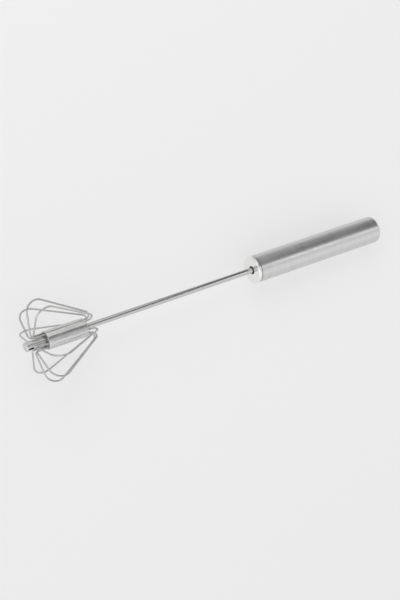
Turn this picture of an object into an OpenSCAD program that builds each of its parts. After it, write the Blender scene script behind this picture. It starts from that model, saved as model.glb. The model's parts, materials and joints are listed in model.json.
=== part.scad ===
// Push-down rotary whisk in stainless steel.
// Pressing the handle pushes a slotted nut along a twisted strip, so the wire head spins.
// Each piece is drawn on an upright axis with the tip at height zero, and then laid down on
// the two lowest wires and the handle's rounded end.

/* [Overall] */
// Length from the tip to the closed end of the handle
overall_length = 300; // [285:1:330]
// Length of the handle with its cap
handle_length = 113.4; // [102:0.1:125]
// Distance that the handle can be pressed down
press_travel = 50; // [40:1:52]

/* [Handle] */
// Outside diameter of the handle tube and its cap
handle_d = 20; // [19:0.1:24]
// Wall of the handle tube
handle_wall = 0.8; // [0.6:0.05:1.2]
// Thickness of the tube's closed end
end_thickness = 1; // [0.8:0.1:2]
// Rounding of the tube's closed end
end_round = 2.3; // [1.8:0.1:3]
// Height of the cap's rim, which is flush with the tube
cap_rim = 2.6; // [2.2:0.1:6]
// Thickness of the cap's face
cap_face = 1; // [0.8:0.1:1.6]
// Rounding of the cap's outer edge
cap_round = 1.2; // [0.4:0.1:1.4]
// Length of the cap's spigot inside the tube
cap_spigot = 8; // [5:0.5:10]
// Wall of the cap's spigot
spigot_wall = 1.2; // [0.8:0.1:2]
// Open groove between the cap's rim and the tube
seam_gap = 0.12; // [0.05:0.01:0.3]
// Rounding of the two edges at that groove
seam_round = 0.25; // [0.1:0.05:0.4]
// Gap round the shaft in the cap's face
cap_gap = 1; // [0.4:0.05:1.2]
// Rounding of the edge of the shaft's hole
hole_round = 0.35; // [0.2:0.05:0.5]
// Thickness of the guide bush's flange
bush_flange = 2; // [1:0.1:3]

/* [Drive] */
// Width of the twisted strip
strip_width = 2.6; // [2:0.1:2.7]
// Thickness of the twisted strip
strip_thickness = 0.8; // [0.6:0.05:1]
// Advance of the strip in one full twist
strip_lead = 20; // [16:0.5:30]
// Length of strip below the nut's slot at rest
strip_tail = 12; // [6:0.5:20]
// Flat length of strip held in the anchor
strip_grip = 6; // [5:0.5:8]
// Length of the drive nut
nut_length = 8; // [7:0.5:10]
// Thickness of the nut's slotted top
nut_web = 2; // [1.5:0.1:3]
// Width of the waist turned into the nut's side
nut_waist = 3; // [2:0.1:4]
// Depth of the nut's waist
nut_waist_depth = 1.2; // [0.5:0.1:2]
// Diameter of the two pins that lock the nut on the shaft
nut_pin_d = 1.2; // [0.8:0.1:1.5]
// Thickness of the thrust washer
washer_thickness = 0.8; // [0.5:0.1:1.5]
// Length of the anchor plug in the closed end
plug_length = 7; // [6.5:0.1:9]
// Outside diameter of the anchor's stop sleeve
stop_sleeve_d = 8.4; // [7:0.1:9]
// Diameter of the pin through the strip and its anchor
anchor_pin_d = 1.2; // [0.8:0.1:1.4]

/* [Spring] */
// Wire diameter of the return spring
spring_wire_d = 1.2; // [0.8:0.1:1.4]
// Mean diameter of the spring's coil
spring_coil_d = 12.4; // [11.4:0.1:13]
// Room between the spring's turns when the handle is fully pressed
spring_spare = 0.6; // [0.1:0.05:0.8]
// Room between the closed turns at each end of the spring
spring_end_gap = 0.5; // [0.45:0.05:1]

/* [Shaft] */
// Outside diameter of the shaft tube
shaft_d = 4.1; // [4:0.1:5]
// Wall of the shaft tube
shaft_wall = 0.4; // [0.3:0.05:0.5]

/* [Head] */
// Outside diameter of the hub sleeve
sleeve_d = 13.4; // [12.6:0.1:15]
// Wall of the hub sleeve
sleeve_wall = 0.8; // [0.5:0.05:1]
// Length of the hub sleeve
sleeve_length = 30.3; // [26:0.1:36]
// Rounding of the sleeve's outer edges
sleeve_round = 0.35; // [0.2:0.05:0.45]
// Depth of the open mouth at each end of the sleeve
sleeve_mouth = 1; // [0.5:0.5:4]
// Diameter of the pin through the hub core and the shaft
hub_pin_d = 1.5; // [1:0.1:2]
// Diameter of the tip
tip_d = 6.8; // [6:0.1:8]
// Length of tip that stands out of the sleeve
tip_reach = 15.5; // [14:0.5:20]
// Rounding of the tip's nose
tip_round = 1; // [0.5:0.1:1.5]
// Solid length of the tip's nose
tip_nose = 6; // [5.5:0.5:8]
// Width of the slot in the side of the nose
tip_slot = 1.4; // [1:0.1:1.8]
// Length of that slot
tip_slot_length = 4.2; // [3:0.1:4.4]
// Depth of that slot
tip_slot_depth = 1.2; // [0.5:0.1:1.5]
// Plain length between the nose's rounding and that slot
tip_slot_land = 0.3; // [0.2:0.05:0.5]

/* [Wires] */
// Diameter of the whisk wire
wire_d = 1.25; // [1:0.05:1.7]
// Outside diameter of the wire cage
cage_d = 58; // [56:0.5:70]
// Height of the cage's widest bend above the sleeve's lower mouth
cage_rise = 0.9; // [-1:0.1:4]
// Bend radius at the widest part of each wire
cage_bend = 8.5; // [7:0.5:10]
// Height of the hook's bend above the sleeve
hook_rise = 3.1; // [1:0.1:5]
// Bend radius of the hook above the sleeve
hook_bend = 2.6; // [1.6:0.1:3]
// Depth of the toe's bend below the sleeve
toe_drop = 7.2; // [6:0.1:9]
// Bend radius of the toe below the sleeve
toe_bend = 2; // [1.5:0.1:3]
// Growth of the wire's radius where it is bent
bend_swell = 0.01; // [0.008:0.001:0.02]
// Angle between neighbouring wires in one fan
fan_angle = 37.5; // [32:0.5:42]
// Gap between the two ends of a wire inside the hub
wire_end_gap = 3; // [2:0.5:6]

/* [Fits] */
// Gap between pieces that are pressed or staked together
press_gap = 0.03; // [0.02:0.01:0.05]
// Running clearance of the shaft in its bush, on the radius
running_gap = 0.05; // [0.02:0.01:0.1]
// Clearance of pieces that pass each other freely
free_gap = 0.3; // [0.25:0.05:0.4]
// Clearance round the strip in the nut's slot
slot_gap = 0.12; // [0.1:0.01:0.15]

/* [Hidden] */
$fn = 64;
WIRES_IN_FAN = 4;
WIRE_COUNT = 2 * WIRES_IN_FAN;
// Degrees that each wire of the two fans is bent aside from its even place
WIRE_SET = [[0, -1.5, 1.5, -1.5], [0, 4, -7, -5]];

// Length by which a cutter runs past the face that it opens
PAST = 1;

// Handle and cap
handle_r = handle_d / 2;
bore_r = handle_r - handle_wall;
bore_round = end_round - handle_wall;
cap_face_z = overall_length - handle_length;
seam_z = cap_face_z + cap_rim;
rim_middle_z = (cap_face_z + cap_round + seam_z - seam_round) / 2;
tube_low_z = seam_z + seam_gap;
tube_middle_z = (tube_low_z + overall_length) / 2;
spigot_top_z = seam_z + cap_spigot;
spigot_r = bore_r - press_gap;
cap_bore_r = spigot_r - spigot_wall;
end_inside_z = overall_length - end_thickness;

// Shaft and guide bush
shaft_r = shaft_d / 2;
shaft_bore_r = shaft_r - shaft_wall;
shaft_seat_r = shaft_r + press_gap;
bush_low_z = cap_face_z + cap_face + press_gap;
bush_flange_z = spigot_top_z + press_gap;
bush_top_z = bush_flange_z + bush_flange;

// Drive nut and thrust washer at rest
nut_low_z = bush_top_z + free_gap;
nut_top_z = nut_low_z + nut_length;
nut_web_z = nut_top_z - nut_web;
nut_r = bore_r - free_gap;
nut_pin_z = nut_low_z + (nut_length - nut_web) / 2;
shaft_top_z = nut_web_z - press_gap;
washer_low_z = nut_top_z + press_gap;
washer_top_z = washer_low_z + washer_thickness;
washer_r = (spring_coil_d + spring_wire_d) / 2 + free_gap;

// Strip and its anchor
strip_r = norm([strip_width, strip_thickness]) / 2;
strip_room_r = strip_r + free_gap;
plug_top_z = end_inside_z - press_gap;
plug_low_z = plug_top_z - plug_length;
strip_top_z = plug_top_z - press_gap;
strip_flat_z = strip_top_z - strip_grip;
strip_low_z = nut_web_z - strip_tail;
anchor_pin_z = strip_flat_z + strip_grip / 2;
stop_z = washer_top_z + press_travel + free_gap;
TWIST_STEPS = 24;
TWIST_SEGMENTS = 8;

// Spring between the washer and the plug
SPRING_RINGS = 8;
SPRING_SIDES = 6;
SPRING_END_TURNS = 1;
spring_wire_r = spring_wire_d / 2;
spring_low_z = washer_top_z + press_gap + spring_wire_r;
spring_high_z = plug_low_z - press_gap - spring_wire_r;
spring_turns = floor((plug_low_z - stop_z) / (spring_wire_d + spring_spare));
spring_end_pitch = spring_wire_d + spring_end_gap;
spring_end_rise = SPRING_END_TURNS * spring_end_pitch;
spring_pitch = (spring_high_z - spring_low_z - 2 * spring_end_rise)
    / (spring_turns - 2 * SPRING_END_TURNS);

// Hub
sleeve_low_z = tip_reach;
sleeve_top_z = sleeve_low_z + sleeve_length;
sleeve_bore_r = sleeve_d / 2 - sleeve_wall;
core_r = sleeve_bore_r - press_gap;
core_low_z = sleeve_low_z + sleeve_mouth;
core_top_z = sleeve_top_z - sleeve_mouth;
core_middle_z = (core_low_z + core_top_z) / 2;
hub_pin_reach = core_r - wire_d / 2;
tip_r = tip_d / 2;
tip_top_z = core_low_z - press_gap;
// Degrees round the axis from straight down to the slot
TIP_SLOT_ANGLE = -128;

// One wire, as points on a half plane of radius and height
RUN_LAP = 0.1;
wire_r = wire_d / 2;
cage_r = cage_d / 2 - wire_r - bend_swell;
inner_run_r = core_r - wire_r;
bend_centre = [cage_r - cage_bend, sleeve_low_z + cage_rise];
hook_centre = [inner_run_r + hook_bend, sleeve_top_z + hook_rise];
toe_centre = [inner_run_r + toe_bend, sleeve_low_z - toe_drop];
// Angle to the axis of the straight leg that is tangent to the wide bend and a smaller one
function leg_angle(small_centre, small_bend) =
    let (apart = bend_centre - small_centre)
    acos((small_bend - cage_bend) / norm(apart)) - atan2(abs(apart[1]), apart[0]);
flare_angle = leg_angle(hook_centre, hook_bend);
return_angle = leg_angle(toe_centre, toe_bend);
function on_bend(centre, radius, angle) = centre + radius * [cos(angle), sin(angle)];
wire_high_end_z = core_middle_z + wire_end_gap / 2;
wire_low_end_z = core_middle_z - wire_end_gap / 2;

// Angle of a wire round the axis, from straight down, positive on the first fan's side
function fan_of(number) = number <= WIRES_IN_FAN ? 0 : 1;
function place_in_fan(number) = (number - 1) % WIRES_IN_FAN;
function even_angle(place) = 90 + (place - (WIRES_IN_FAN - 1) / 2) * fan_angle;
function wire_angle(number) =
    let (fan = fan_of(number), place = place_in_fan(number))
    (fan == 0 ? 1 : -1) * (even_angle(place) + WIRE_SET[fan][place]);

// Lying position: the axis falls towards the handle until its rounded end touches
lowest_wire = even_angle(0);
function wire_drop(tilt) =
    bend_centre[0] * cos(tilt) * cos(lowest_wire)
    + cage_bend * norm([sin(tilt), cos(tilt) * cos(lowest_wire)]) + wire_r + bend_swell;
function handle_drop(tilt) = (handle_r - end_round) * cos(tilt) + end_round;
function next_tilt(tilt) =
    asin((wire_drop(tilt) - handle_drop(tilt)) / (overall_length - end_round - bend_centre[1]));
function settled(tilt, steps) = steps == 0 ? tilt : settled(next_tilt(tilt), steps - 1);
lay_tilt = settled(0, 20);
lay_height = bend_centre[1] * sin(lay_tilt) + wire_drop(lay_tilt);
tip_end_x = tip_round * (cos(lay_tilt) - 1) - (tip_r - tip_round) * sin(lay_tilt);
handle_end_x = (overall_length - end_round) * cos(lay_tilt)
    + (handle_r - end_round) * sin(lay_tilt) + end_round;
function fan_reach(fan) = cage_r * max([for (place = [0:WIRES_IN_FAN - 1])
    sin(even_angle(place) + WIRE_SET[fan][place])]);
lay_middle = [(tip_end_x + handle_end_x) / 2, (fan_reach(0) - fan_reach(1)) / 2, 0];

module lay() {
    translate([0, 0, lay_height] - lay_middle) rotate([0, 90 + lay_tilt, 0]) children();
}

// Half section of a round bar from one height to another, with its far edge rounded
module rounded_bar(radius, edge, from, to) {
    length = abs(to - from);
    translate([0, from]) mirror([0, to > from ? 0 : 1]) {
        square([radius, length - edge]);
        square([radius - edge, length]);
        translate([radius - edge, length - edge]) circle(edge);
    }
}

// Half section of a plain bar, ring or bore
module band(inner, outer, from, to) {
    translate([inner, from]) square([outer - inner, to - from]);
}

// Round pin across the axis, over a stretch of radius
module cross_pin(diameter, from, to, height, angle) {
    rotate([0, 0, angle]) translate([from, 0, height]) rotate([0, 90, 0])
        cylinder(d = diameter, h = to - from);
}

// Strip section swept up the axis with the strip's twist, widened by a gap
module twisted_bar(from, to, gap) {
    turns = (to - from) / strip_lead;
    translate([0, 0, from]) rotate([0, 0, twist_at(from)])
        linear_extrude(to - from, twist = -360 * turns, slices = ceil(turns * TWIST_STEPS),
            segments = TWIST_SEGMENTS)
            square([strip_width + 2 * gap, strip_thickness + 2 * gap], center = true);
}
function twist_at(height) = 360 * (height - strip_low_z) / strip_lead;

// Closed drawn tube that is held in the hand
module handle_tube() {
    color("lightgray") lay() rotate_extrude() difference() {
        union() {
            rounded_bar(handle_r, end_round, tube_middle_z, overall_length);
            rounded_bar(handle_r, seam_round, tube_middle_z, tube_low_z);
        }
        rounded_bar(bore_r, bore_round, seam_z - PAST, end_inside_z);
    }
}

// Flush cap on the tube's open end, with a clear hole for the shaft
module handle_cap() {
    hole_r = shaft_r + cap_gap;
    color("gainsboro") lay() rotate_extrude() difference() {
        union() {
            rounded_bar(handle_r, cap_round, rim_middle_z, cap_face_z);
            rounded_bar(handle_r, seam_round, rim_middle_z, seam_z);
            band(0, spigot_r, rim_middle_z, spigot_top_z);
        }
        band(0, cap_bore_r, cap_face_z + cap_face, spigot_top_z + PAST);
        band(0, hole_r, cap_face_z - PAST, spigot_top_z);
        difference() {
            band(0, hole_r + hole_round, cap_face_z - PAST, cap_face_z + hole_round);
            translate([hole_r + hole_round, cap_face_z + hole_round]) circle(hole_round);
        }
    }
}

// Plastic bush in the cap, which carries the shaft and stops the nut
module guide_bush() {
    bush_bore_r = shaft_r + running_gap;
    color("dimgray") lay() rotate_extrude() {
        band(bush_bore_r, cap_bore_r - press_gap, bush_low_z, bush_flange_z);
        band(bush_bore_r, spigot_r, bush_flange_z, bush_top_z);
    }
}

// Plug in the closed end, with a sleeve that ends the stroke and a slot for the strip
module strip_anchor() {
    color("darkgray") lay() difference() {
        rotate_extrude() {
            rounded_bar(bore_r - press_gap, bore_round, plug_low_z, plug_top_z);
            band(0, stop_sleeve_d / 2, stop_z, plug_low_z);
        }
        translate([0, 0, stop_z - PAST]) cylinder(r = strip_room_r, h = strip_flat_z - stop_z + PAST);
        translate([0, 0, strip_flat_z - PAST]) rotate([0, 0, twist_at(strip_flat_z)])
            linear_extrude(strip_grip + 2 * PAST)
                square([strip_width + 2 * press_gap, strip_thickness + 2 * press_gap], center = true);
        cross_pin(anchor_pin_d + 2 * press_gap, -handle_r, handle_r, anchor_pin_z,
            twist_at(strip_flat_z) + 90);
    }
}

// Pin that holds the strip in its anchor
module anchor_pin() {
    reach = bore_r - 2 * press_gap;
    color("dimgray") lay() intersection() {
        cross_pin(anchor_pin_d, -reach, reach, anchor_pin_z, twist_at(strip_flat_z) + 90);
        cylinder(r = reach - press_gap, h = overall_length);
    }
}

// Flat steel strip, twisted like a drill, with a flat end for the anchor
module drive_strip() {
    color("silver") lay() {
        twisted_bar(strip_low_z, strip_flat_z, 0);
        difference() {
            translate([0, 0, strip_flat_z]) rotate([0, 0, twist_at(strip_flat_z)])
                linear_extrude(strip_grip) square([strip_width, strip_thickness], center = true);
            cross_pin(anchor_pin_d + 2 * press_gap, -handle_r, handle_r, anchor_pin_z,
                twist_at(strip_flat_z) + 90);
        }
    }
}

// Height of the spring's wire after a number of turns, with close turns at both ends
function spring_z(turn) =
    turn < SPRING_END_TURNS ? spring_low_z + turn * spring_end_pitch :
    turn > spring_turns - SPRING_END_TURNS ? spring_high_z - (spring_turns - turn) * spring_end_pitch :
    spring_low_z + spring_end_rise + (turn - SPRING_END_TURNS) * spring_pitch;
function spring_point(turn, radius) =
    [radius * cos(360 * turn), radius * sin(360 * turn), spring_z(turn)];
spring_ring_count = spring_turns * SPRING_RINGS;
spring_centres = [for (ring = [0:spring_ring_count])
    spring_point(ring / SPRING_RINGS, spring_coil_d / 2)];
spring_least_gap = min([for (ring = [0:spring_ring_count - SPRING_RINGS], next = [-1:1])
    let (above = ring + SPRING_RINGS + next)
    above > spring_ring_count ? spring_coil_d : norm(spring_centres[above] - spring_centres[ring])])
    - spring_wire_d;
echo(spring_turns = spring_turns, spring_least_gap = spring_least_gap);
echo(lay_tilt = lay_tilt, lay_height = lay_height, lay_middle = lay_middle);

// Coil that pushes the handle back up, as one tube along a helix
module return_spring() {
    last = spring_ring_count * SPRING_SIDES;
    points = [for (ring = [0:spring_ring_count], side = [0:SPRING_SIDES - 1])
        let (turn = ring / SPRING_RINGS, around = 360 * side / SPRING_SIDES)
        spring_point(turn, spring_coil_d / 2 + spring_wire_r * cos(around))
            + [0, 0, spring_wire_r * sin(around)]];
    sides = [for (ring = [0:spring_ring_count - 1], side = [0:SPRING_SIDES - 1])
        let (first = ring * SPRING_SIDES, next = (side + 1) % SPRING_SIDES,
            low = first + side, low_next = first + next,
            high = low + SPRING_SIDES, high_next = low_next + SPRING_SIDES)
        each [[low, low_next, high_next], [low, high_next, high]]];
    start_cap = [for (side = [1:SPRING_SIDES - 2]) [0, side + 1, side]];
    end_cap = [for (side = [1:SPRING_SIDES - 2]) [last, last + side, last + side + 1]];
    color("slategray") lay() polyhedron(points, concat(sides, start_cap, end_cap));
}

// Loose washer that takes the spring's push while the nut turns under it
module thrust_washer() {
    color("gray") lay() rotate_extrude() band(strip_room_r, washer_r, washer_low_z, washer_top_z);
}

// Hollow shaft from the tip to the drive nut
module shaft_tube() {
    color("silver") lay() difference() {
        rotate_extrude() band(shaft_bore_r, shaft_r, tip_nose + press_gap, shaft_top_z);
        cross_pin(hub_pin_d + 2 * press_gap, -sleeve_d, sleeve_d, core_middle_z, 0);
        cross_pin(nut_pin_d + 2 * press_gap, -handle_r, handle_r, nut_pin_z, 90);
    }
}

// Plastic piston on the shaft's top, with a helical slot for the strip
module drive_nut() {
    waist_z = nut_pin_z - nut_waist / 2;
    color("ivory") lay() difference() {
        rotate_extrude() difference() {
            band(0, nut_r, nut_low_z, nut_top_z);
            band(nut_r - nut_waist_depth, nut_r + PAST, waist_z, waist_z + nut_waist);
        }
        translate([0, 0, nut_low_z - PAST]) cylinder(r = shaft_seat_r, h = nut_web_z - nut_low_z + PAST);
        twisted_bar(nut_web_z - PAST, nut_top_z + PAST, slot_gap);
        cross_pin(nut_pin_d + 2 * press_gap, -handle_r, handle_r, nut_pin_z, 90);
    }
}

// Two short pins from the nut's waist into the shaft's wall, clear of the strip
module nut_pins() {
    pin_end_r = nut_r - nut_waist_depth - free_gap;
    color("dimgray") lay() for (angle = [90, -90])
        cross_pin(nut_pin_d, shaft_bore_r + press_gap, pin_end_r, nut_pin_z, angle);
}

// Plug between the shaft and the sleeve, with a flute for each wire
module hub_core() {
    flute_r = wire_r + press_gap;
    flute_length = core_top_z - core_low_z + 2 * PAST;
    color("gray") lay() difference() {
        rotate_extrude() band(shaft_seat_r, core_r, core_low_z, core_top_z);
        for (number = [1:WIRE_COUNT]) rotate([0, 0, wire_angle(number)])
            translate([inner_run_r, 0, core_low_z - PAST]) linear_extrude(flute_length) {
                circle(flute_r);
                translate([0, -flute_r]) square([wire_d, 2 * flute_r]);
            }
        cross_pin(hub_pin_d + 2 * press_gap, -sleeve_d, sleeve_d, core_middle_z, 0);
    }
}

// Pin through the core and the shaft, hidden by the sleeve
module hub_pin() {
    color("dimgray") lay() cross_pin(hub_pin_d, -hub_pin_reach, hub_pin_reach, core_middle_z, 0);
}

// Polished sleeve that clamps the wires on the core
module hub_sleeve() {
    color("silver") lay() rotate_extrude() difference() {
        union() {
            rounded_bar(sleeve_d / 2, sleeve_round, core_middle_z, sleeve_low_z);
            rounded_bar(sleeve_d / 2, sleeve_round, core_middle_z, sleeve_top_z);
        }
        band(0, sleeve_bore_r, sleeve_low_z - PAST, sleeve_top_z + PAST);
    }
}

// Blunt foot that turns on the bottom of the bowl, with a short slot in its side
module tip_ferrule() {
    slot_run = tip_slot_length - tip_slot;
    slot_low_z = tip_round + tip_slot_land + tip_slot / 2;
    color("silver") lay() difference() {
        rotate_extrude() difference() {
            rounded_bar(tip_r, tip_round, tip_top_z, 0);
            band(0, shaft_seat_r, tip_nose, tip_top_z + PAST);
        }
        rotate([0, 0, TIP_SLOT_ANGLE]) translate([tip_r - tip_slot_depth, 0, slot_low_z])
            rotate([90, 0, 90]) linear_extrude(tip_slot_depth + PAST) {
                circle(d = tip_slot);
                translate([-tip_slot / 2, 0]) square([tip_slot, slot_run]);
                translate([0, slot_run]) circle(d = tip_slot);
            }
    }
}

// Straight stretch of wire between two points on the half plane, lapped into its bends
module wire_run(from, to) {
    reach = to - from;
    translate([from[0], 0, from[1]]) rotate([0, atan2(reach[0], reach[1]), 0])
        translate([0, 0, -RUN_LAP]) cylinder(r = wire_r, h = norm(reach) + 2 * RUN_LAP);
}

// Bent stretch of wire round a point on the half plane, between two angles
module wire_bend(centre, radius, from, to) {
    translate([centre[0], 0, centre[1]]) rotate([90, 0, 0]) rotate([0, 0, from])
        rotate_extrude(angle = to - from) translate([radius, 0]) circle(wire_r + bend_swell);
}

// Wire that leaves the sleeve's top in a hook, flares out and comes back in at its mouth
module whisk_wire(number) {
    color("whitesmoke") lay() rotate([0, 0, wire_angle(number)]) {
        wire_run([inner_run_r, wire_high_end_z], [inner_run_r, hook_centre[1]]);
        wire_bend(hook_centre, hook_bend, flare_angle, 180);
        wire_run(on_bend(hook_centre, hook_bend, flare_angle),
            on_bend(bend_centre, cage_bend, flare_angle));
        wire_bend(bend_centre, cage_bend, -return_angle, flare_angle);
        wire_run(on_bend(bend_centre, cage_bend, -return_angle),
            on_bend(toe_centre, toe_bend, -return_angle));
        wire_bend(toe_centre, toe_bend, 180, 360 - return_angle);
        wire_run([inner_run_r, toe_centre[1]], [inner_run_r, wire_low_end_z]);
    }
}

handle_tube();
handle_cap();
guide_bush();
strip_anchor();
anchor_pin();
drive_strip();
return_spring();
thrust_washer();
shaft_tube();
drive_nut();
nut_pins();
hub_core();
hub_pin();
hub_sleeve();
tip_ferrule();
for (number = [1:WIRE_COUNT])
    whisk_wire(number);
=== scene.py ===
# %% [markdown]
# A push-down whisk in stainless steel. A plain tube is held in the hand, a slim shaft runs out of its cap,
# and eight bent wires stand round a polished sleeve near the tip. Pressing the handle down spins the wires,
# because a twisted strip inside the handle runs through a slotted nut on the shaft.
#
# The solids come from the CAD model, which already has every piece in its place. Steel is nearly all shine
# and hardly any colour, so most of this lesson is about what the metal mirrors and how rough each finish is.

# %% Load the frame
import json
from math import atan2, cos, degrees, pi, radians, sin

import bpy
from mathutils import Matrix, Vector


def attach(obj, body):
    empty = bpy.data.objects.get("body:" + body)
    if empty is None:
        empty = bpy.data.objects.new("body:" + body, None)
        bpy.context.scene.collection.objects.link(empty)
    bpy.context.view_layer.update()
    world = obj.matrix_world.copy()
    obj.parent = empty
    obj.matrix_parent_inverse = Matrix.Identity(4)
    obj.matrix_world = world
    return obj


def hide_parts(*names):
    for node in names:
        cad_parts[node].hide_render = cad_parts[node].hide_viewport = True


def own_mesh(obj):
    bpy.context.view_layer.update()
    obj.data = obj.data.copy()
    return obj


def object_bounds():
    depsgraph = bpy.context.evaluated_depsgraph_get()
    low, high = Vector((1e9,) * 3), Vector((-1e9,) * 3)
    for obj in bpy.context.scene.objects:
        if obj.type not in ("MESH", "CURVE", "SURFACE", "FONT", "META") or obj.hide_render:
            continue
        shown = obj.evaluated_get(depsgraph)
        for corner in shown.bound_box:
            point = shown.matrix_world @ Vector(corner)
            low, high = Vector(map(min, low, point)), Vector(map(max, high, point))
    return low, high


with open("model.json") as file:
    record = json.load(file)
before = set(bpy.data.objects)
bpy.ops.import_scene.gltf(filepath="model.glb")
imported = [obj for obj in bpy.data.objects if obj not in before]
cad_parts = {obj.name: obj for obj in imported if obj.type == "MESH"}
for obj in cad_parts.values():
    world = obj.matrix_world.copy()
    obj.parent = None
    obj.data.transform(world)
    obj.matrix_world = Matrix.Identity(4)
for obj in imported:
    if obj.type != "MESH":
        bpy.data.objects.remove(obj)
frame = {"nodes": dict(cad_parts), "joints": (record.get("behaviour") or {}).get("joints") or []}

cad_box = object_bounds()
scene = bpy.context.scene
scene.view_settings.view_transform = "Standard"
MM = 0.001
MICRON = 0.001 * MM

print("CAD nodes:", len(frame["nodes"]))

# %% [markdown]
# Nearly all the turned, ground and drawn marks on this object follow one line: the axis that the head spins
# on. The frame's hinge gives a point of that axis and its direction. The whisk lies on its wires and its
# handle's end, so the axis falls a few degrees towards the handle.

# %% Find the whisk's axis
joints = {joint["name"]: joint for joint in frame["joints"]}
spin = joints["whisk_spin"]
axis = Vector(spin["axis"]).normalized()
axis_point = Vector(spin["pos_m"])
lay_tilt = atan2(-axis.z, axis.x)

print("The axis falls by", round(degrees(lay_tilt), 2), "degrees")

# %% [markdown]
# The photograph was taken with a long lens, from above and from the head's side, and the camera was turned
# about its own line of sight until the whisk ran up to the right. An ordinary "track to" would keep the
# camera level, so its three directions are worked out here: straight back, a level right, and then the roll.

# %% Camera
CAMERA_AZIMUTH = radians(-69.65)
CAMERA_ELEVATION = radians(61.71)
CAMERA_ROLL = radians(47.48)
CAMERA_PLACE = Vector((-0.5151, -0.194, 1.0135))
CAMERA_LENS = 96

away = cos(CAMERA_ELEVATION)
back = Vector((sin(CAMERA_AZIMUTH) * away, -cos(CAMERA_AZIMUTH) * away, sin(CAMERA_ELEVATION)))
level_right = Vector((0, 0, 1)).cross(back).normalized()
level_up = back.cross(level_right)
right = cos(CAMERA_ROLL) * level_right + sin(CAMERA_ROLL) * level_up
up = back.cross(right)
camera_turn = Matrix((right, up, back)).transposed().to_4x4()

bpy.ops.object.select_all(action="DESELECT")
bpy.ops.object.camera_add()
camera = bpy.context.object
camera.name = "photo_camera"
camera.matrix_world = Matrix.Translation(CAMERA_PLACE) @ camera_turn
camera.data.lens = CAMERA_LENS
scene.camera = camera

print("Camera looks along", [round(value, 3) for value in -back])

# %% [markdown]
# A node tree reads better when each node takes one statement. The first helper adds a node, sets its
# properties and the values of its sockets, and joins its inputs to what other nodes give. The sockets of a
# Mix node share their names between kinds of data, so those that are used here are called by number, and
# the numbers get names. Colours are written as hex values, as a colour picker shows them, and the second
# helper turns them to the linear values that the renderer works with, by the curve of the sRGB standard.

# %% Helpers for node trees
MIX_SHARE = 0
MIX_NUMBER_A = 2
MIX_NUMBER_B = 3
MIX_COLOUR_A = 6
MIX_COLOUR_B = 7
MIXED_NUMBER = 0
MIXED_COLOUR = 2


def add_node(tree, kind, settings=None, links=None):
    node = tree.nodes.new(kind)
    for name, value in (settings or {}).items():
        if isinstance(name, int) or name in node.inputs:
            node.inputs[name].default_value = value
        else:
            setattr(node, name, value)
    for name, output in (links or {}).items():
        tree.links.new(output, node.inputs[name])
    return node


def linear(hex_colour):
    channels = [int(hex_colour[place:place + 2], 16) / 255 for place in (1, 3, 5)]
    return [c / 12.92 if c <= 0.04045 else ((c + 0.055) / 1.055) ** 2.4 for c in channels] + [1.0]


print("Mid grey is", round(linear("#808080")[0], 3), "in linear light")

# %% [markdown]
# The room is a plain studio. Steel shows whatever stands round it: here a pale horizon all round and a
# darker ceiling, which draws the dark band along the handle. The darkest place is overhead, tilted to the
# side away from the camera. The world's brightness falls towards it, so its gradient compares the direction
# of the ray with the direction of that place. Where the camera itself looks past the floor, it sees an
# even, pale wall.

# %% World
HORIZON_LIGHT = 1.0
CEILING_LIGHT = 0.02
CEILING_TILT = radians(32)
WALL_LIGHT = 0.87
AIR_COLOUR = "#FDFDFF"

world = bpy.data.worlds.new("studio_room")
world.use_nodes = True
scene.world = world
sky = world.node_tree
darkest = (0, sin(CEILING_TILT), cos(CEILING_TILT))
ray = add_node(sky, "ShaderNodeTexCoord")
height = add_node(sky, "ShaderNodeVectorMath", {"operation": "DOT_PRODUCT", 1: darkest},
                  {0: ray.outputs["Generated"]})
glow = add_node(sky, "ShaderNodeMapRange",
                {"interpolation_type": "SMOOTHSTEP", "To Min": HORIZON_LIGHT, "To Max": CEILING_LIGHT},
                {"Value": height.outputs["Value"]})
sight = add_node(sky, "ShaderNodeLightPath")
wall = add_node(sky, "ShaderNodeMix", {"data_type": "FLOAT", MIX_NUMBER_B: WALL_LIGHT},
                {MIX_SHARE: sight.outputs["Is Camera Ray"], MIX_NUMBER_A: glow.outputs["Result"]})
backdrop = sky.nodes["Background"]
backdrop.inputs["Color"].default_value = linear(AIR_COLOUR)
sky.links.new(wall.outputs[MIXED_NUMBER], backdrop.inputs["Strength"])

print("World from", HORIZON_LIGHT, "at the horizon to", CEILING_LIGHT, "overhead")

# %% [markdown]
# Three soft boxes light the whisk. The key box hangs past the handle's closed end and the far box stands on
# the side away from the camera, and in the steel they draw the bright bands on both sides of the dark one.
# The largest box stands on the head's side, behind the camera, and lights the wires and the tip. The watts
# follow from how bright each box should look in the steel, where 1 is white: a lamp that shines one way
# looks as bright as its watts divided by pi and by its area.

# %% Soft boxes
WHISK_MIDDLE = Vector((0, 0, 0.02))
SOFT_BOXES = {
    "key_box": {
        "place": Vector((0.82, -0.24, 1.0)),
        "aim": Vector((0.82, -0.24, 0)),
        "sides": (0.38, 0.36),
        "brightness": 1.55,
    },
    "far_box": {
        "place": Vector((0.0, 0.9, 1.0)),
        "aim": WHISK_MIDDLE,
        "sides": (1.45, 1.45),
        "brightness": 1.0,
    },
    "head_box": {
        "place": Vector((-1.4, -0.2, 1.3)),
        "aim": WHISK_MIDDLE,
        "sides": (3.2, 3.2),
        "brightness": 0.5,
    },
}

for name, box in SOFT_BOXES.items():
    bpy.ops.object.light_add(type="AREA", location=box["place"])
    lamp = bpy.context.object
    lamp.name = name
    lamp.data.shape = "RECTANGLE"
    lamp.data.size, lamp.data.size_y = box["sides"]
    lamp.data.energy = pi * box["brightness"] * lamp.data.size * lamp.data.size_y
    lamp.rotation_mode = "QUATERNION"
    lamp.rotation_quaternion = (box["aim"] - box["place"]).to_track_quat("-Z", "Y")
    print(name, "of", round(lamp.data.energy, 1), "W")

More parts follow.
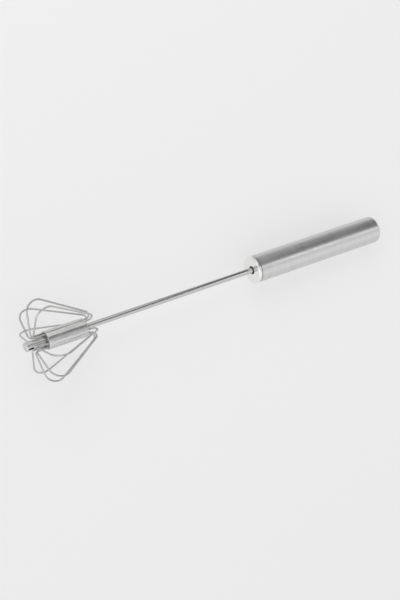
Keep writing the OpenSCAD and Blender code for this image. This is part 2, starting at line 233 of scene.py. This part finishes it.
# %% [markdown]
# The floor is a wide sheet of studio paper. When the handle is pressed, the head slides down the slope of
# its axis, so the paper lies two millimetres below the lowest wire and the turning wires stay clear of it.

# %% Floor
FLOOR_SIDE = 8
FLOOR_DROP = 2.2 * MM

bpy.ops.object.select_all(action="DESELECT")
bpy.ops.mesh.primitive_plane_add(size=FLOOR_SIDE, location=(0, 0, cad_box[0].z - FLOOR_DROP))
floor = bpy.context.object
floor.name = "studio_floor"

print("Floor at", round(floor.location.z / MM, 2), "mm")

# %% [markdown]
# The paper is pale and dull. To the camera and to mirrors, part of its brightness is its own, so that it
# looks pale without more light on the steel. The rest is lit, and keeps the shadow. Far from the whisk the
# lamps reach it less, so its own share grows there and the paper stays even.

# %% Studio paper
PAPER_COLOUR = "#F2F2F1"
PAPER_ROUGHNESS = 0.9
PAPER_SHINE = 0.2
PAPER_LIFT = 0.5
FAR_PAPER_LIFT = 0.84
LIFT_START = 0.6
LIFT_END = 3.0

paper = bpy.data.materials.new("studio_paper")
paper.use_nodes = True
paper_tree = paper.node_tree
paper_shader = paper_tree.nodes["Principled BSDF"]
paper_shader.inputs["Base Color"].default_value = linear(PAPER_COLOUR)
paper_shader.inputs["Roughness"].default_value = PAPER_ROUGHNESS
paper_shader.inputs["Specular IOR Level"].default_value = PAPER_SHINE
path = add_node(paper_tree, "ShaderNodeLightPath")
mirrored = add_node(paper_tree, "ShaderNodeMath", {"operation": "MAXIMUM"},
                    {0: path.outputs["Is Glossy Ray"], 1: path.outputs["Is Transmission Ray"]})
looked_at = add_node(paper_tree, "ShaderNodeMath", {"operation": "MAXIMUM"},
                     {0: path.outputs["Is Camera Ray"], 1: mirrored.outputs["Value"]})
spot = add_node(paper_tree, "ShaderNodeTexCoord")
reach = add_node(paper_tree, "ShaderNodeVectorMath", {"operation": "LENGTH"}, {0: spot.outputs["Object"]})
own_share = add_node(paper_tree, "ShaderNodeMapRange",
                     {"From Min": LIFT_START, "From Max": LIFT_END,
                      "To Min": PAPER_LIFT, "To Max": FAR_PAPER_LIFT},
                     {"Value": reach.outputs["Value"]})
lift = add_node(paper_tree, "ShaderNodeMath", {"operation": "MULTIPLY"},
                {0: looked_at.outputs["Value"], 1: own_share.outputs["Result"]})
white = add_node(paper_tree, "ShaderNodeEmission", {"Strength": 1.0})
lifted = add_node(paper_tree, "ShaderNodeMixShader",
                  links={0: lift.outputs["Value"], 1: paper_shader.outputs["BSDF"],
                         2: white.outputs["Emission"]})
paper_tree.links.new(lifted.outputs["Shader"], paper_tree.nodes["Material Output"].inputs["Surface"])
floor.data.materials.append(paper)

print("Paper's own brightness from", PAPER_LIFT, "near the whisk to", FAR_PAPER_LIFT)

# %% [markdown]
# All the steels share one build. Stainless steel is a neutral grey metal, and a finish is a set of fine
# marks: belts and lathe tools leave lines round the axis, and drawing dies leave lines along it. The marks
# are drawn in the axis's own directions. A Mapping node of the Texture kind moves its origin onto the axis,
# turns with it, and takes the size of one mark along and across the axis as its scale.

# %% Marks along the axis
def new_finish(name):
    finish = bpy.data.materials.new(name)
    finish.use_nodes = True
    return finish


def marks_along_axis(tree, mark_size):
    place = add_node(tree, "ShaderNodeTexCoord")
    turned = add_node(tree, "ShaderNodeMapping",
                      {"vector_type": "TEXTURE", "Location": axis_point, "Rotation": (0, lay_tilt, 0),
                       "Scale": mark_size},
                      {"Vector": place.outputs["Object"]})
    return turned.outputs["Vector"]


print("Marks start from", [round(value / MM, 2) for value in axis_point], "mm")

# %% [markdown]
# The recipe lets the marks of a finish change three things: the tone, the roughness and, through a shallow
# bump, the direction of the surface. A second, far coarser noise is the handling: faint patches where skin
# oil or a cloth has changed the shine. A noise stays near the middle of its range most of the time, so the
# roughness goes through its whole change within that middle part.

# %% Steel recipe
HANDLING_SIZE = 14 * MM
HANDLING_LOW = 0.35
HANDLING_HIGH = 0.65
MARKS_LOW = 0.25
MARKS_HIGH = 0.75


def steel_from_marks(finish, marks, tones, roughness, relief, handled):
    tree = finish.node_tree
    shader = tree.nodes["Principled BSDF"]
    shader.inputs["Metallic"].default_value = 1.0
    place = add_node(tree, "ShaderNodeTexCoord")
    handling = add_node(tree, "ShaderNodeTexNoise", {"Scale": 1 / HANDLING_SIZE, "Detail": 2.0},
                        {"Vector": place.outputs["Object"]})
    tone = add_node(tree, "ShaderNodeMix",
                    {"data_type": "RGBA", MIX_COLOUR_A: linear(tones[0]), MIX_COLOUR_B: linear(tones[1])},
                    {MIX_SHARE: marks})
    worn = add_node(tree, "ShaderNodeMapRange",
                    {"From Min": HANDLING_LOW, "From Max": HANDLING_HIGH, "To Max": handled},
                    {"Value": handling.outputs["Fac"]})
    grain = add_node(tree, "ShaderNodeMapRange",
                     {"From Min": MARKS_LOW, "From Max": MARKS_HIGH,
                      "To Min": roughness[0], "To Max": roughness[1]},
                     {"Value": marks})
    shine = add_node(tree, "ShaderNodeMath", {"operation": "ADD"},
                     {0: grain.outputs["Result"], 1: worn.outputs["Result"]})
    bump = add_node(tree, "ShaderNodeBump", {"Strength": 1.0, "Distance": relief}, {"Height": marks})
    tree.links.new(tone.outputs[MIXED_COLOUR], shader.inputs["Base Color"])
    tree.links.new(shine.outputs["Value"], shader.inputs["Roughness"])
    tree.links.new(bump.outputs["Normal"], shader.inputs["Normal"])
    print("Finish:", finish.name)


# %% [markdown]
# Most of the finishes draw their marks with a Noise texture. Where a mark is longer one way than the other,
# the noise is stretched that way, and its spots become lines. Its finer detail breaks the lines up, more so
# where a finish asks for it.

# %% Steel with lines or spots
def lined_steel(name, mark_size, tones, roughness, relief, handled, detail=3.0, breaks=0.5):
    finish = new_finish(name)
    lines = add_node(finish.node_tree, "ShaderNodeTexNoise",
                     {"Scale": 1.0, "Detail": detail, "Roughness": breaks},
                     {"Vector": marks_along_axis(finish.node_tree, mark_size)})
    steel_from_marks(finish, lines.outputs["Fac"], tones, roughness, relief, handled)
    return finish


# %% [markdown]
# The handle is a drawn tube that was turned against an abrasive belt, which leaves lines round it. The real
# lines are some hundredths of a millimetre apart, far too fine to show, so they are drawn 0.9 mm apart and
# fade along their length. To the eye they give a satin surface with soft, broad bands of light.

# %% Satin handle
BELT_LINE = 0.9 * MM
BELT_REACH = 25 * MM

satin = lined_steel("satin_stainless_belted_round", mark_size=(BELT_LINE, BELT_REACH, BELT_REACH),
                    tones=("#C6C6C5", "#DEDEDD"), roughness=(0.26, 0.36), relief=1 * MICRON, handled=0.05,
                    detail=4.0, breaks=0.65)

# %% [markdown]
# The palm rubs the closed end, so the shine grows a little over the last centimetre. The end is measured
# from the tube's mesh, and the finish compares it with the place of each point along the axis, in plain
# millimetres. The change is added to the roughness that the recipe has set.

# %% Shine of the palm
PALM_START = 12
PALM_END = 2
PALM_POLISH = -0.03


def heights_on_axis(node):
    return [(vertex.co - axis_point).dot(axis) for vertex in node.data.vertices]


def millimetres_on_axis(tree):
    spread = add_node(tree, "ShaderNodeSeparateXYZ",
                      links={"Vector": marks_along_axis(tree, (MM, MM, MM))})
    return spread.outputs["X"]


def add_to_roughness(finish, change):
    socket = finish.node_tree.nodes["Principled BSDF"].inputs["Roughness"]
    changed = add_node(finish.node_tree, "ShaderNodeMath", {"operation": "ADD"},
                       {0: socket.links[0].from_socket, 1: change})
    finish.node_tree.links.new(changed.outputs["Value"], socket)


tube_heights = heights_on_axis(frame["nodes"]["handle_tube"])
tube_end = max(tube_heights) / MM
palm = add_node(satin.node_tree, "ShaderNodeMapRange",
                {"From Min": tube_end - PALM_START, "From Max": tube_end - PALM_END,
                 "To Max": PALM_POLISH},
                {"Value": millimetres_on_axis(satin.node_tree)})
add_to_roughness(satin, palm.outputs["Result"])

print("The handle ends", round(tube_end, 2), "mm along the axis")

# %% [markdown]
# The cap was turned on a lathe, so its marks are rings round the axis, and a Wave texture of the Rings kind
# draws them on its face. At this scale one ring is about as wide as one mark, and some waver keeps them from
# looking drawn with a compass. The tool's real marks are far finer. The face is polished until it mirrors
# the shaft.

# %% Turned cap
TOOL_FEED = 0.8 * MM
RING_SCALE = 0.3
RING_WAVER = 1.5

bright = new_finish("bright_stainless_turned")
cap_rings = add_node(bright.node_tree, "ShaderNodeTexWave",
                     {"wave_type": "RINGS", "rings_direction": "X", "Scale": RING_SCALE,
                      "Distortion": RING_WAVER, "Detail": 2.0},
                     {"Vector": marks_along_axis(bright.node_tree, (TOOL_FEED, TOOL_FEED, TOOL_FEED))})
steel_from_marks(bright, cap_rings.outputs["Fac"], tones=("#EEEEED", "#F4F4F3"), roughness=(0.1, 0.15),
                 relief=0.3 * MICRON, handled=0.03)

# %% [markdown]
# The cap's rounded edge is left as the tool cut it, so it is rougher than the face and looks duller. It is
# told from the face by its place along the axis.

# %% Dull edge of the cap
EDGE_START = 0.05
EDGE_END = 0.25
EDGE_DULLNESS = 0.2

cap_face = min(heights_on_axis(frame["nodes"]["handle_cap"])) / MM
edge = add_node(bright.node_tree, "ShaderNodeMapRange",
                {"From Min": cap_face + EDGE_START, "From Max": cap_face + EDGE_END,
                 "To Max": EDGE_DULLNESS},
                {"Value": millimetres_on_axis(bright.node_tree)})
add_to_roughness(bright, edge.outputs["Result"])

print("The cap's face lies", round(cap_face, 2), "mm along the axis")

# %% [markdown]
# The tip was turned too. It spins on the bottom of bowls, so it is duller than the cap and its marks are
# deeper. On its side they are lines round the axis.

# %% Turned tip
TIP_LINE_REACH = 20 * MM

foot = lined_steel("turned_stainless_foot", mark_size=(TOOL_FEED, TIP_LINE_REACH, TIP_LINE_REACH),
                   tones=("#CCCCCB", "#DEDEDD"), roughness=(0.26, 0.4), relief=1.5 * MICRON, handled=0.05)

# %% [markdown]
# The narrow groove between the cap and the tube is a fine dark line, because shade falls between the parts.
# That shade is painted: both finishes darken towards the groove within half a millimetre. Its place is
# measured from the tube's open end.

# %% Painted shade in the groove
# The groove's dark colour is painted shade between the cap and the tube.
GROOVE_PAINTED_SHADE = "#7C7A76"
SHADE_CORE = 0.15
SHADE_REACH = 0.5


# Mixes a colour of painted shade into a finish's base colour.
def add_painted_shade(finish, amount, shade_colour):
    tree = finish.node_tree
    base_colour = tree.nodes["Principled BSDF"].inputs["Base Color"]
    shaded = add_node(tree, "ShaderNodeMix", {"data_type": "RGBA", MIX_COLOUR_B: linear(shade_colour)},
                      {MIX_SHARE: amount, MIX_COLOUR_A: base_colour.links[0].from_socket})
    tree.links.new(shaded.outputs[MIXED_COLOUR], base_colour)


groove = min(tube_heights) / MM
for finish in (satin, bright):
    tree = finish.node_tree
    side = add_node(tree, "ShaderNodeMath", {"operation": "SUBTRACT", 1: groove},
                    {0: millimetres_on_axis(tree)})
    distance = add_node(tree, "ShaderNodeMath", {"operation": "ABSOLUTE"}, {0: side.outputs["Value"]})
    groove_shade = add_node(tree, "ShaderNodeMapRange",
                       {"From Min": SHADE_CORE, "From Max": SHADE_REACH, "To Min": 1.0, "To Max": 0.0},
                       {"Value": distance.outputs["Value"]})
    # Paints shade into the groove.
    add_painted_shade(finish, groove_shade.outputs["Result"], GROOVE_PAINTED_SHADE)

print("The groove lies", round(groove, 2), "mm along the axis")

# %% [markdown]
# The slot in the side of the tip is painted darker, as painted shade in its recess. It is the only place of
# the tip's side that lies below the round surface, so the finish darkens with the depth below it. The bore
# darkens as well, but the shaft fills it. The rounded end of the tip lies closer to the axis too, and is
# kept free of the painted shade by its height.

# %% Painted shade in the slot
# The slot's dark colour is painted shade in the recess.
SLOT_PAINTED_SHADE = "#4A4845"
SLOT_UNSHADED_END = 1.1
SLOT_START = 1.3
SLOT_RIM = 0.1
SLOT_DARK = 0.5


def reaches_from_axis(node):
    return [(vertex.co - axis_point).cross(axis).length for vertex in node.data.vertices]


tip = frame["nodes"]["tip_ferrule"]
tip_end = min(heights_on_axis(tip)) / MM
tip_radius = max(reaches_from_axis(tip)) / MM
foot_tree = foot.node_tree
sideways = add_node(foot_tree, "ShaderNodeVectorMath", {"operation": "MULTIPLY", 1: (0, 1, 1)},
                    {0: marks_along_axis(foot_tree, (MM, MM, MM))})
radius = add_node(foot_tree, "ShaderNodeVectorMath", {"operation": "LENGTH"},
                  {0: sideways.outputs["Vector"]})
depth = add_node(foot_tree, "ShaderNodeMapRange",
                 {"From Min": tip_radius - SLOT_RIM, "From Max": tip_radius - SLOT_DARK},
                 {"Value": radius.outputs["Value"]})
past_end = add_node(foot_tree, "ShaderNodeMapRange",
                    {"From Min": tip_end + SLOT_UNSHADED_END, "From Max": tip_end + SLOT_START},
                    {"Value": millimetres_on_axis(foot_tree)})
slot_shade = add_node(foot_tree, "ShaderNodeMath", {"operation": "MULTIPLY"},
                  {0: depth.outputs["Result"], 1: past_end.outputs["Result"]})
# Paints shade into the slot.
add_painted_shade(foot, slot_shade.outputs["Value"], SLOT_PAINTED_SHADE)

print("The tip's side is", round(tip_radius, 2), "mm from the axis")

# %% [markdown]
# The shaft is thin drawn tube, polished lengthwise, so its marks run along it and its reflections stay
# clear. The marks are a few hundredths of a millimetre wide on the real one and are drawn 0.4 mm wide here.
# The sleeve is the same kind of tube, wider and brighter. It was drawn tight over the wires, which left
# shallow lengthwise streaks that break up its highlights. They are drawn 2 mm wide and some hundredths of a
# millimetre deep, because finer ones would not show.

# %% Polished shaft and sleeve
SHAFT_REACH = 40 * MM
SHAFT_STREAK = 0.4 * MM
SLEEVE_REACH = 15 * MM
SLEEVE_STREAK = 2 * MM

shaft = lined_steel("polished_stainless_tube", mark_size=(SHAFT_REACH, SHAFT_STREAK, SHAFT_STREAK),
                    tones=("#C0C0BF", "#D0D0CF"), roughness=(0.14, 0.22), relief=0.5 * MICRON, handled=0.03)
sleeve = lined_steel("polished_stainless_sleeve", mark_size=(SLEEVE_REACH, SLEEVE_STREAK, SLEEVE_STREAK),
                     tones=("#A4A4A3", "#F4F4F3"), roughness=(0.16, 0.28), relief=60 * MICRON, handled=0.04)

# %% [markdown]
# The whisk wires are bright drawn wire, cleaned in an electropolishing bath after bending. The bath rounds
# off the lines of the die and leaves a faint pebbled skin, which softens the glints a little. It is an even
# noise, a little smaller than the wire.

# %% Bright wire
PEBBLE = 0.8 * MM

wire = lined_steel("electropolished_wire", mark_size=(PEBBLE, PEBBLE, PEBBLE), detail=2.0,
                   tones=("#BABAB9", "#CACAC9"), roughness=(0.18, 0.26), relief=0.5 * MICRON, handled=0.02)

# %% [markdown]
# The pieces inside are never polished. The anchor, the washer and the hub's core are plain machined steel
# with lines round the axis, the pins are ground, and the strip was rolled flat before it was twisted. The
# spring is drawn wire, darkened by heat and left with a film of oil. They show only where the mouths of the
# sleeve or the hole of the cap let the eye in.

# %% Inner steels
INNER_LINE = 0.5 * MM
LATHE_REACH = 10 * MM
WHEEL_REACH = 3 * MM
ROLL_REACH = 20 * MM
DIE_LINE = 1 * MM
DIE_REACH = 6 * MM

machined = lined_steel("machined_steel", mark_size=(INNER_LINE, LATHE_REACH, LATHE_REACH),
                       tones=("#C4C4C3", "#D2D2D1"), roughness=(0.42, 0.55), relief=2 * MICRON, handled=0.03)
ground = lined_steel("ground_steel_pin", mark_size=(INNER_LINE, WHEEL_REACH, INNER_LINE),
                     tones=("#A8A8A9", "#BABABB"), roughness=(0.2, 0.3), relief=1 * MICRON, handled=0.02)
rolled = lined_steel("rolled_steel_strip", mark_size=(ROLL_REACH, INNER_LINE, INNER_LINE),
                     tones=("#AEAEAD", "#C0C0BF"), roughness=(0.22, 0.34), relief=1 * MICRON, handled=0.04)
oiled = lined_steel("oiled_spring_steel", mark_size=(DIE_LINE, DIE_REACH, DIE_REACH), detail=2.0,
                    tones=("#7E7C79", "#949290"), roughness=(0.24, 0.38), relief=1 * MICRON, handled=0.08)

# %% [markdown]
# Two pieces are moulded in acetal, a hard, slippery plastic. The guide bush is black and shows as a dark
# ring round the shaft in the cap's hole. The nut keeps acetal's own milky white. A moulded skin is smooth
# with a very faint grain, and grease from the shaft and the strip leaves both pieces with duller and shinier
# patches.

# %% Moulded plastics
ACETAL_IOR = 1.48
MOULD_GRAIN = 0.3 * MM
MOULD_RELIEF = 2 * MICRON
GREASE_SIZE = 3 * MM
SHINY_ROUGHNESS = 0.3
DULL_ROUGHNESS = 0.55
ACETAL_TONES = {"black_acetal": ("#151515", "#1F1F20"), "natural_acetal": ("#DCDAD2", "#E6E4DC")}

plastics = {}
for name, tones in ACETAL_TONES.items():
    plastic = new_finish(name)
    tree = plastic.node_tree
    shader = tree.nodes["Principled BSDF"]
    shader.inputs["IOR"].default_value = ACETAL_IOR
    place = add_node(tree, "ShaderNodeTexCoord")
    skin = add_node(tree, "ShaderNodeTexNoise", {"Scale": 1 / MOULD_GRAIN, "Detail": 2.0},
                    {"Vector": place.outputs["Object"]})
    grease = add_node(tree, "ShaderNodeTexNoise", {"Scale": 1 / GREASE_SIZE, "Detail": 2.0},
                      {"Vector": place.outputs["Object"]})
    tone = add_node(tree, "ShaderNodeMix",
                    {"data_type": "RGBA", MIX_COLOUR_A: linear(tones[0]), MIX_COLOUR_B: linear(tones[1])},
                    {MIX_SHARE: grease.outputs["Fac"]})
    gloss = add_node(tree, "ShaderNodeMapRange", {"To Min": SHINY_ROUGHNESS, "To Max": DULL_ROUGHNESS},
                     {"Value": grease.outputs["Fac"]})
    bump = add_node(tree, "ShaderNodeBump", {"Distance": MOULD_RELIEF}, {"Height": skin.outputs["Fac"]})
    tree.links.new(tone.outputs[MIXED_COLOUR], shader.inputs["Base Color"])
    tree.links.new(gloss.outputs["Result"], shader.inputs["Roughness"])
    tree.links.new(bump.outputs["Normal"], shader.inputs["Normal"])
    plastics[name] = plastic
    print("Finish:", name)

# %% [markdown]
# Each CAD node already carries a plain material that is named for its slot in the record. The finishes take
# the place of these materials, and the meshes stay as they are.

# %% Put the finishes on the CAD nodes
FINISHES = {
    "handle_steel": satin,
    "cap_steel": bright,
    "shaft_steel": shaft,
    "sleeve_steel": sleeve,
    "tip_steel": foot,
    "wire_steel": wire,
    "inner_steel": machined,
    "pin_steel": ground,
    "strip_steel": rolled,
    "spring_steel": oiled,
    "bush_plastic": plastics["black_acetal"],
    "nut_plastic": plastics["natural_acetal"],
}

for node in frame["nodes"].values():
    for slot in node.material_slots:
        slot.material = FINISHES[slot.material.name]

print("Finishes in use:", len(FINISHES))

# %% [markdown]
# The return spring is a coil of drawn wire with a close turn at each end. The CAD coil has a six-sided wire,
# so a rounder one takes its place. Its ends and its radius are measured from the CAD coil.

# %% Measure the spring
coil = frame["nodes"]["return_spring"]
coil_heights = heights_on_axis(coil)
coil_reach = max(reaches_from_axis(coil))
spring_length = max(coil_heights) - min(coil_heights)
spring_base = axis_point + min(coil_heights) * axis

print("Spring of", round(spring_length / MM, 2), "mm, coil", round(2 * coil_reach / MM, 2), "mm wide")

# %% [markdown]
# A curve with a bevel would make the coil as well, but a ring of the wire's section that is swept by the
# Screw modifier gives an even mesh. There are three runs: a close turn, the open turns, and a close turn
# again. The wire, the number of turns and the close pitch are those of the CAD coil, and the open turns
# share the height that the close ones leave.

# %% Wind the spring
SPRING_WIRE = 1.2 * MM
SPRING_TURNS = 18
SPRING_END_TURNS = 1
SPRING_END_PITCH = 1.7 * MM
WIRE_SIDES = 14
STEPS_PER_TURN = 36

coil_radius = coil_reach - SPRING_WIRE / 2
end_rise = SPRING_END_TURNS * SPRING_END_PITCH
open_turns = SPRING_TURNS - 2 * SPRING_END_TURNS
open_pitch = (spring_length - SPRING_WIRE - 2 * end_rise) / open_turns
first_start = SPRING_WIRE / 2
open_start = first_start + end_rise
last_start = spring_length - SPRING_WIRE / 2 - end_rise

runs = []
for start, pitch, turns in ((first_start, SPRING_END_PITCH, SPRING_END_TURNS),
                            (open_start, open_pitch, open_turns),
                            (last_start, SPRING_END_PITCH, SPRING_END_TURNS)):
    bpy.ops.object.select_all(action="DESELECT")
    bpy.ops.mesh.primitive_circle_add(vertices=WIRE_SIDES, radius=SPRING_WIRE / 2,
                                      location=(coil_radius, 0, start), rotation=(pi / 2, 0, 0))
    bpy.ops.object.transform_apply()
    winding = bpy.context.object.modifiers.new("winding", "SCREW")
    winding.screw_offset = pitch
    winding.iterations = turns
    winding.steps = STEPS_PER_TURN
    winding.render_steps = STEPS_PER_TURN
    bpy.ops.object.modifier_apply(modifier=winding.name)
    runs.append(bpy.context.object)

print("Open turns rise by", round(open_pitch / MM, 2), "mm each")

# %% [markdown]
# Where one run ends and the next begins, their rings lie on each other, so joining the runs and merging
# doubles makes one long tube. Only the two open ends then have edges with a single face. They are selected
# by that and filled.

# %% Weld the runs and close the ends
WELD = 1 * MICRON
SMOOTH_ANGLE = radians(50)

for run in runs:
    run.select_set(True)
bpy.ops.object.join()
spring = bpy.context.object
spring.name = "wound_spring"
bpy.ops.object.mode_set(mode="EDIT")
bpy.ops.mesh.select_all(action="SELECT")
bpy.ops.mesh.remove_doubles(threshold=WELD)
bpy.ops.mesh.select_all(action="DESELECT")
bpy.ops.mesh.select_non_manifold()
bpy.ops.mesh.edge_face_add()
bpy.ops.mesh.select_all(action="SELECT")
bpy.ops.mesh.normals_make_consistent(inside=False)
bpy.ops.object.mode_set(mode="OBJECT")
bpy.ops.object.shade_smooth_by_angle(angle=SMOOTH_ANGLE)

print("Wound spring:", len(spring.data.polygons), "faces")

# %% [markdown]
# The coil was wound upright at the origin. Now it is laid along the axis, and its place goes into its mesh.
# It is seated in the handle and is attached to the handle's body, so it moves with the handle. The real
# spring shortens towards the anchor by the whole stroke when the handle is pressed, but nothing here
# shortens it.

# %% Lay the spring in the handle
spring.location = spring_base
spring.rotation_euler = (0, pi / 2 + lay_tilt, 0)
bpy.ops.object.transform_apply()
spring.data.materials.append(oiled)
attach(spring, "handle")
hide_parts("return_spring")
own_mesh(spring)
